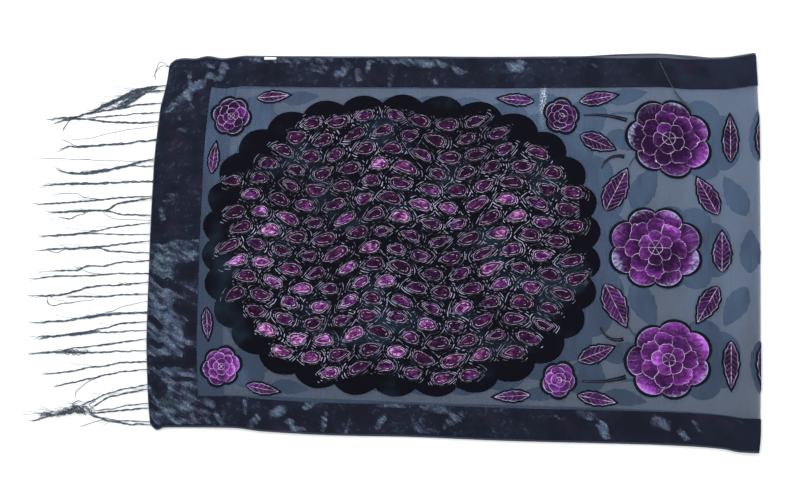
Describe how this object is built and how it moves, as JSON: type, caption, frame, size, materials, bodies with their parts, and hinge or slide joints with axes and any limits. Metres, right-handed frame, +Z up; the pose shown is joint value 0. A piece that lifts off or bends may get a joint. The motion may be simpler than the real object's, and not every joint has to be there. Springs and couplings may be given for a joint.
{
  "type": "folded devore velvet scarf",
  "caption": "Long devore velvet scarf folded once across its length and laid flat, with a velvet border, a patterned field on sheer cloth, a small plain label at the hem and a thread fringe at the ends.",
  "frame": {"origin": "on the surface that carries the scarf, under the centre of its box", "axes": "+X along the scarf towards the fold, +Y across it towards the far long edge, +Z up"},
  "size_m": [0.972, 0.5029, 0.0078],
  "materials": {
    "sheer_ground": "sheer crepe chiffon, blue-grey, the surface shows through it",
    "black_velvet": "crushed velvet pile, blue-black, with pale sheen where the nap is laid over",
    "plum_velvet": "velvet pile in plum and magenta with broken silvery outlines",
    "fringe_yarn": "matte twisted thread, dark blue-grey",
    "label_satin": "plain white satin tape"
  },
  "bodies": {
    "root": {"upper_layer": "sheer_ground", "fold_turn": "sheer_ground", "under_layer": "sheer_ground", "pile_medallion": "black_velvet", "pile_rosette_middle": "plum_velvet", "pile_rosette_far": "plum_velvet", "pile_rosette_near": "plum_velvet", "pile_rosette_bud_far": "plum_velvet", "pile_rosette_bud_near": "plum_velvet", "pile_rosette_end_far": "plum_velvet", "pile_rosette_end_near": "plum_velvet", "pile_leaf_middle": "plum_velvet", "pile_leaf_inner_far": "plum_velvet", "pile_leaf_inner_near": "plum_velvet", "pile_leaf_fold_inner_far": "plum_velvet", "pile_leaf_fold_inner_near": "plum_velvet", "pile_leaf_fold_outer_far": "plum_velvet", "pile_leaf_fold_outer_near": "plum_velvet", "pile_leaf_stem_inner_far": "plum_velvet", "pile_leaf_stem_inner_near": "plum_velvet", "pile_leaf_stem_outer_far": "plum_velvet", "pile_leaf_stem_outer_near": "plum_velvet", "pile_leaf_stem_tip_far": "plum_velvet", "pile_leaf_stem_tip_near": "plum_velvet", "pile_leaf_end_side_far": "plum_velvet", "pile_leaf_end_side_near": "plum_velvet", "pile_leaf_end_front_far": "plum_velvet", "pile_leaf_end_front_near": "plum_velvet", "pile_stem_far": "plum_velvet", "pile_stem_near": "plum_velvet", "pile_tendril_far": "plum_velvet", "pile_tendril_near": "plum_velvet", "care_label": "label_satin", "upper_fringe": "fringe_yarn", "under_fringe": "fringe_yarn"}
  },
  "joints": []
}
